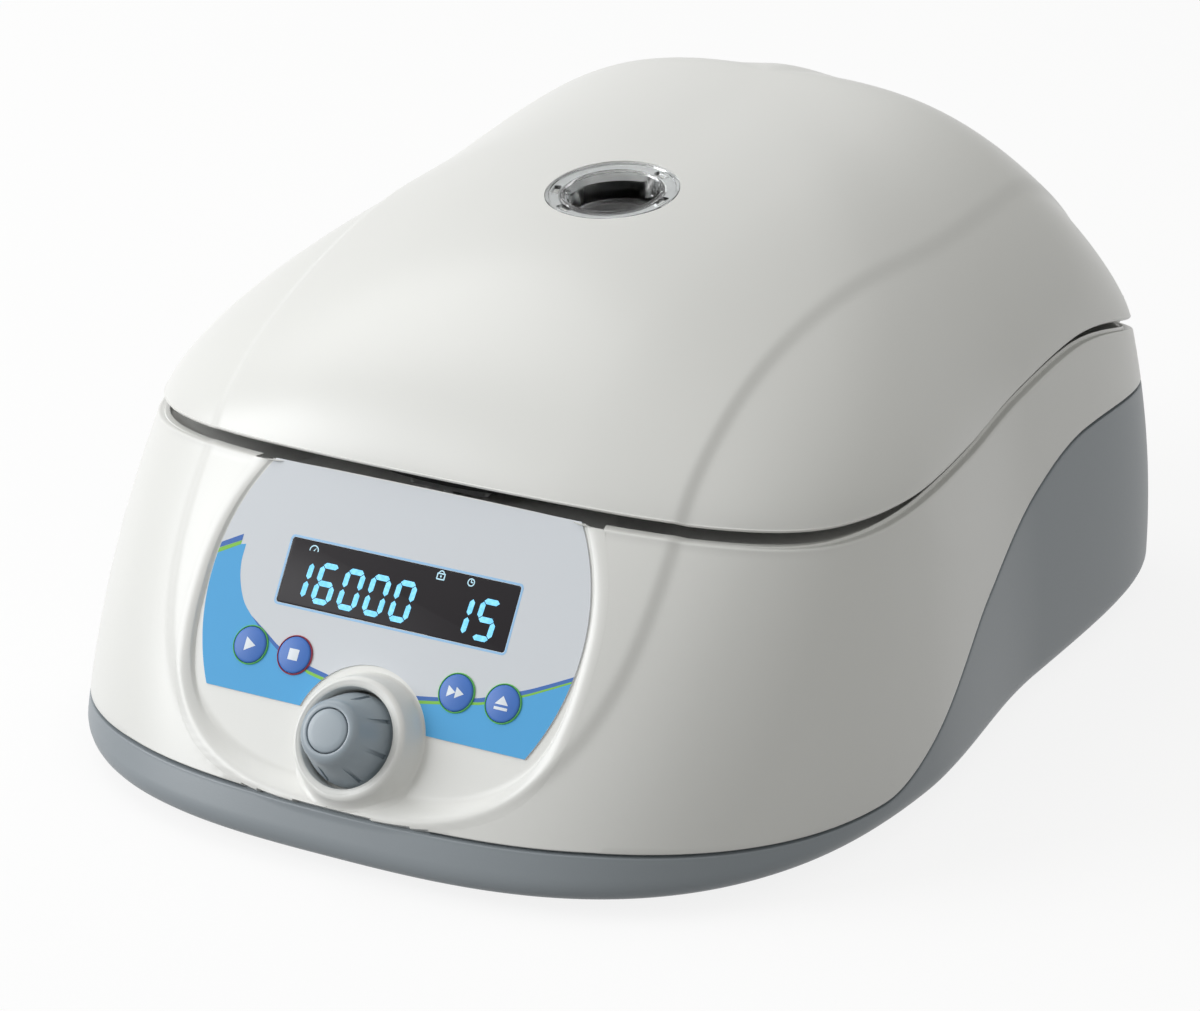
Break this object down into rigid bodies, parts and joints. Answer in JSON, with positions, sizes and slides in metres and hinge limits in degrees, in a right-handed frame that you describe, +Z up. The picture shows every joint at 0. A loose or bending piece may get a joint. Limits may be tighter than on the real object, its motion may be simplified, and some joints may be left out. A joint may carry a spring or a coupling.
{
  "type": "microcentrifuge",
  "caption": "Benchtop microcentrifuge with a hinged domed lid and viewing port, a tilted control panel with display, keys and push knob, and a fixed-angle tube rotor.",
  "frame": {"origin": "bottom centre of the whole part, between its rubber feet, on the bench", "axes": "+Z up, +Y from the control panel at the front to the hinge at the rear, +X to the right seen from the front"},
  "size_m": [0.2556, 0.3336, 0.164],
  "materials": {
    "base": "satin",
    "shell": "satin",
    "rubber": "matte",
    "steel": "satin",
    "stainless": "brushed",
    "dark_plastic": "matte",
    "alloy": "satin",
    "clear": "clear",
    "copper": "satin",
    "overlay": "satin",
    "display": "gloss",
    "board": "satin",
    "keys": "satin",
    "knob": "satin",
    "sleeve": "gloss"
  },
  "bodies": {
    "housing": {"base_shell": "base", "upper_housing": "shell", "rubber_feet": "rubber", "base_screws": "steel", "chamber_bowl": "stainless", "bowl_gasket": "rubber", "motor_can": "dark_plastic", "motor_plate": "alloy", "motor_mounts": "rubber", "mount_screws": "steel", "shaft_boot": "rubber", "hinge_pins": "steel", "lid_springs": "steel", "lock_frame": "steel", "lock_solenoid": "copper", "lid_switch": "dark_plastic", "panel_overlay": "overlay", "display_window": "display", "display_module": "dark_plastic", "control_board": "board", "key_switches": "dark_plastic", "encoder_body": "dark_plastic", "power_inlet": "dark_plastic", "inlet_pins": "steel", "fuse_drawer": "dark_plastic", "switch_frame": "dark_plastic", "power_board": "board", "transformer": "copper", "capacitors": "sleeve", "heat_sink": "alloy", "board_posts": "steel", "imbalance_switch": "dark_plastic"},
    "lid": {"lid_shell": "shell", "lid_liner": "dark_plastic", "liner_screws": "steel", "port_cup": "clear", "light_tube": "dark_plastic", "lid_hook": "steel"},
    "rotor": {"rotor": "alloy", "rotor_nut": "steel", "drive_shaft": "steel"},
    "encoder": {"encoder_hub": "alloy"},
    "knob": {"knob": "knob", "knob_cap": "knob", "knob_shaft": "steel"},
    "key_start": {"key_start": "keys"},
    "key_stop": {"key_stop": "keys"},
    "key_quick": {"key_quick": "keys"},
    "key_open": {"key_open": "keys"},
    "lock_bolt": {"lock_bolt": "steel"},
    "rocker": {"switch_rocker": "dark_plastic"}
  },
  "joints": [
    {"name": "lid_hinge", "type": "hinge", "parent": "housing", "child": "lid", "pos_m": [0, 0.1618, 0.07853], "axis": [-1, 0, 0], "range_deg": [0, 75]},
    {"name": "rotor_spin", "type": "hinge", "parent": "housing", "child": "rotor", "pos_m": [0, -0.00664, 0.062], "axis": [0, 0, 1], "continuous": true},
    {"name": "encoder_spin", "type": "hinge", "parent": "housing", "child": "encoder", "pos_m": [0, -0.14835, 0.03304], "axis": [0, -0.8467, 0.5321], "continuous": true},
    {"name": "knob_push", "type": "slide", "parent": "encoder", "child": "knob", "axis": [0, 0.8467, -0.5321], "range_m": [0, 0.0005], "stiffness_N_per_m": 2000, "springref_m": -0.0004},
    {"name": "key_start_press", "type": "slide", "parent": "housing", "child": "key_start", "axis": [0, 0.8467, -0.5321], "range_m": [0, 0.0004], "stiffness_N_per_m": 1500, "springref_m": -0.0003},
    {"name": "key_stop_press", "type": "slide", "parent": "housing", "child": "key_stop", "axis": [0, 0.8467, -0.5321], "range_m": [0, 0.0004], "stiffness_N_per_m": 1500, "springref_m": -0.0003},
    {"name": "key_quick_press", "type": "slide", "parent": "housing", "child": "key_quick", "axis": [0, 0.8467, -0.5321], "range_m": [0, 0.0004], "stiffness_N_per_m": 1500, "springref_m": -0.0003},
    {"name": "key_open_press", "type": "slide", "parent": "housing", "child": "key_open", "axis": [0, 0.8467, -0.5321], "range_m": [0, 0.0004], "stiffness_N_per_m": 1500, "springref_m": -0.0003},
    {"name": "lock_slide", "type": "slide", "parent": "housing", "child": "lock_bolt", "axis": [-1, 0, 0], "range_m": [0, 0.0095], "stiffness_N_per_m": 80, "springref_m": -0.002},
    {"name": "rocker_tilt", "type": "hinge", "parent": "housing", "child": "rocker", "pos_m": [0.014, 0.15963, 0.03503], "axis": [-1, 0, 0], "range_deg": [0, 16]}
  ]
}
